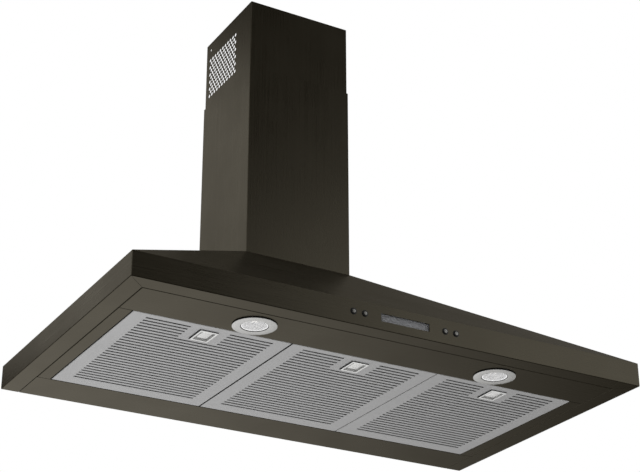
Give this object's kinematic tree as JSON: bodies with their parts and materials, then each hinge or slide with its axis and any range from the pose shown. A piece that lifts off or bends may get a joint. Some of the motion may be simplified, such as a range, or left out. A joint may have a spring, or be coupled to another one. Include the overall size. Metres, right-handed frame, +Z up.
{
  "type": "wall mount range hood",
  "caption": "Wall mount range hood: pyramid canopy with slotted grease filters, round lamps and push buttons below a telescopic duct cover with vented sides.",
  "frame": {"origin": "on the wall plane, under the middle of the canopy, level with the lower face of its rim", "axes": "+X to the right as seen from the room, +Y into the wall, +Z up"},
  "size_m": [0.911, 0.532, 0.769],
  "materials": {
    "dark_stainless": "fine brushed, dark tinted, satin",
    "filter_steel": "brushed, satin",
    "filter_mesh": "woven, dull",
    "bright_latch": "bright",
    "lamp_ring": "brushed, satin",
    "reflector": "faceted, bright",
    "clear_glass": "clear",
    "heat_sink": "cast, matt",
    "button": "satin metallic",
    "galvanised": "zinc coated, dull",
    "bare_aluminium": "mill finish",
    "motor_case": "cast, painted, matt",
    "shaft_steel": "ground",
    "circuit_board": "solder mask",
    "black_plastic": "fine grain"
  },
  "bodies": {
    "hood": {"blower_housing_left": "galvanised", "blower_housing_right": "galvanised", "canopy_shell": "dark_stainless", "control_board": "circuit_board", "control_bracket": "black_plastic", "display_module": "heat_sink", "display_window": "clear_glass", "filler_strip_left": "dark_stainless", "filler_strip_right": "dark_stainless", "lamp_left_bezel": "lamp_ring", "lamp_left_lens": "clear_glass", "lamp_left_module": "heat_sink", "lamp_left_reflector": "reflector", "lamp_panel": "dark_stainless", "lamp_right_bezel": "lamp_ring", "lamp_right_lens": "clear_glass", "lamp_right_module": "heat_sink", "lamp_right_reflector": "reflector", "lower_duct_cover": "dark_stainless", "motor": "motor_case", "outlet_collar": "galvanised", "rear_panel": "galvanised", "rear_rail": "dark_stainless", "run_capacitor": "black_plastic", "terminal_block": "black_plastic", "top_plate": "galvanised", "wiring_box": "galvanised", "wiring_box_cover": "galvanised"},
    "upper_cover": {"upper_duct_cover": "dark_stainless"},
    "impeller": {"impeller": "bare_aluminium", "motor_shaft": "shaft_steel"},
    "damper_flap_front": {"damper_flap_front": "bare_aluminium"},
    "damper_flap_rear": {"damper_flap_rear": "bare_aluminium"},
    "filter_left": {"filter_left_face": "filter_steel", "filter_left_mesh": "filter_mesh", "filter_left_back_frame": "filter_steel", "filter_left_latch_cup": "bright_latch"},
    "latch_left": {"filter_left_latch_slider": "bright_latch"},
    "filter_centre": {"filter_centre_face": "filter_steel", "filter_centre_mesh": "filter_mesh", "filter_centre_back_frame": "filter_steel", "filter_centre_latch_cup": "bright_latch"},
    "latch_centre": {"filter_centre_latch_slider": "bright_latch"},
    "filter_right": {"filter_right_face": "filter_steel", "filter_right_mesh": "filter_mesh", "filter_right_back_frame": "filter_steel", "filter_right_latch_cup": "bright_latch"},
    "latch_right": {"filter_right_latch_slider": "bright_latch"},
    "button_lamp": {"button_lamp": "button"},
    "button_slower": {"button_slower": "button"},
    "button_faster": {"button_faster": "button"},
    "button_power": {"button_power": "button"}
  },
  "joints": [
    {"name": "upper_cover_slide", "type": "slide", "parent": "hood", "child": "upper_cover", "axis": [0, 0, 1], "range_m": [-0.14, 0.17]},
    {"name": "impeller_spin", "type": "hinge", "parent": "hood", "child": "impeller", "pos_m": [0, -0.14, 0.146], "axis": [1, 0, 0], "continuous": true},
    {"name": "damper_front_swing", "type": "hinge", "parent": "hood", "child": "damper_flap_front", "pos_m": [0, -0.0974, 0.2642], "axis": [-1, 0, 0], "range_deg": [0, 75]},
    {"name": "damper_rear_swing", "type": "hinge", "parent": "hood", "child": "damper_flap_rear", "pos_m": [0, -0.0926, 0.2642], "axis": [1, 0, 0], "range_deg": [0, 75]},
    {"name": "filter_left_swing", "type": "hinge", "parent": "hood", "child": "filter_left", "pos_m": [-0.267, -0.0845, 0], "axis": [1, 0, 0], "range_deg": [0, 80]},
    {"name": "latch_left_slide", "type": "slide", "parent": "filter_left", "child": "latch_left", "axis": [0, 1, 0], "range_m": [0, 0.006], "stiffness_N_per_m": 400, "springref_m": -0.004},
    {"name": "filter_centre_swing", "type": "hinge", "parent": "hood", "child": "filter_centre", "pos_m": [0, -0.0845, 0], "axis": [1, 0, 0], "range_deg": [0, 80]},
    {"name": "latch_centre_slide", "type": "slide", "parent": "filter_centre", "child": "latch_centre", "axis": [0, 1, 0], "range_m": [0, 0.006], "stiffness_N_per_m": 400, "springref_m": -0.004},
    {"name": "filter_right_swing", "type": "hinge", "parent": "hood", "child": "filter_right", "pos_m": [0.267, -0.0845, 0], "axis": [1, 0, 0], "range_deg": [0, 80]},
    {"name": "latch_right_slide", "type": "slide", "parent": "filter_right", "child": "latch_right", "axis": [0, 1, 0], "range_m": [0, 0.006], "stiffness_N_per_m": 400, "springref_m": -0.004},
    {"name": "button_lamp_press", "type": "slide", "parent": "hood", "child": "button_lamp", "axis": [0, 1, 0], "range_m": [0, 0.0015], "stiffness_N_per_m": 600, "springref_m": -0.001},
    {"name": "button_slower_press", "type": "slide", "parent": "hood", "child": "button_slower", "axis": [0, 1, 0], "range_m": [0, 0.0015], "stiffness_N_per_m": 600, "springref_m": -0.001},
    {"name": "button_faster_press", "type": "slide", "parent": "hood", "child": "button_faster", "axis": [0, 1, 0], "range_m": [0, 0.0015], "stiffness_N_per_m": 600, "springref_m": -0.001},
    {"name": "button_power_press", "type": "slide", "parent": "hood", "child": "button_power", "axis": [0, 1, 0], "range_m": [0, 0.0015], "stiffness_N_per_m": 600, "springref_m": -0.001}
  ]
}
